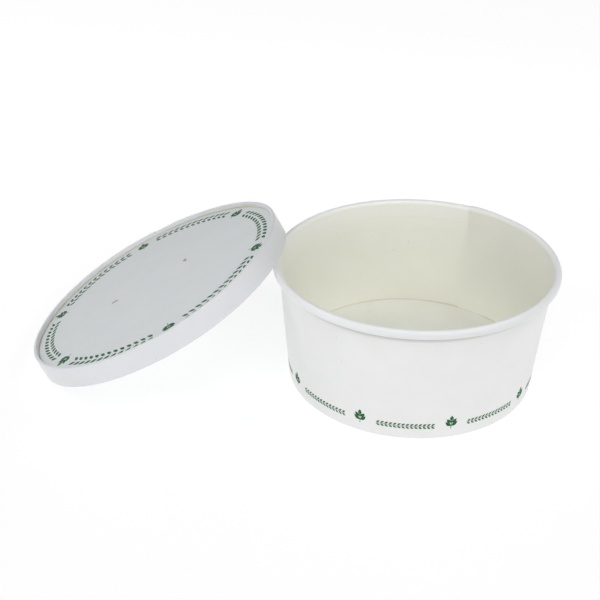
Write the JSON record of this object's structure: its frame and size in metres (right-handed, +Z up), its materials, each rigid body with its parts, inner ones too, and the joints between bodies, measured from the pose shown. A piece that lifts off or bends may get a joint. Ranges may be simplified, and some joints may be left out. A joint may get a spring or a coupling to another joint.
{
  "type": "paper salad bowl",
  "caption": "Round takeaway salad bowl of coated white paper board with a rolled rim and recessed base, its shallow paper lid leaning on the rim.",
  "frame": {"origin": "on the table, under the middle of the box round bowl and leaning lid", "axes": "+Z up, +X from the lid towards the bowl through the bowl's axis and the middle of the lid, +Y to the back"},
  "size_m": [0.2832, 0.1516, 0.0796],
  "materials": {
    "wall_board": "white board with a satin film, creamy inside",
    "base_board": "satin film on pale board",
    "lid_ring_board": "white board with a satin film",
    "lid_panel_board": "matt white board",
    "print_ink": "matt dark green print"
  },
  "bodies": {
    "root": {"bowl_wall": "wall_board", "bowl_base": "base_board", "lid_ring": "lid_ring_board", "lid_panel": "lid_panel_board"}
  },
  "joints": []
}
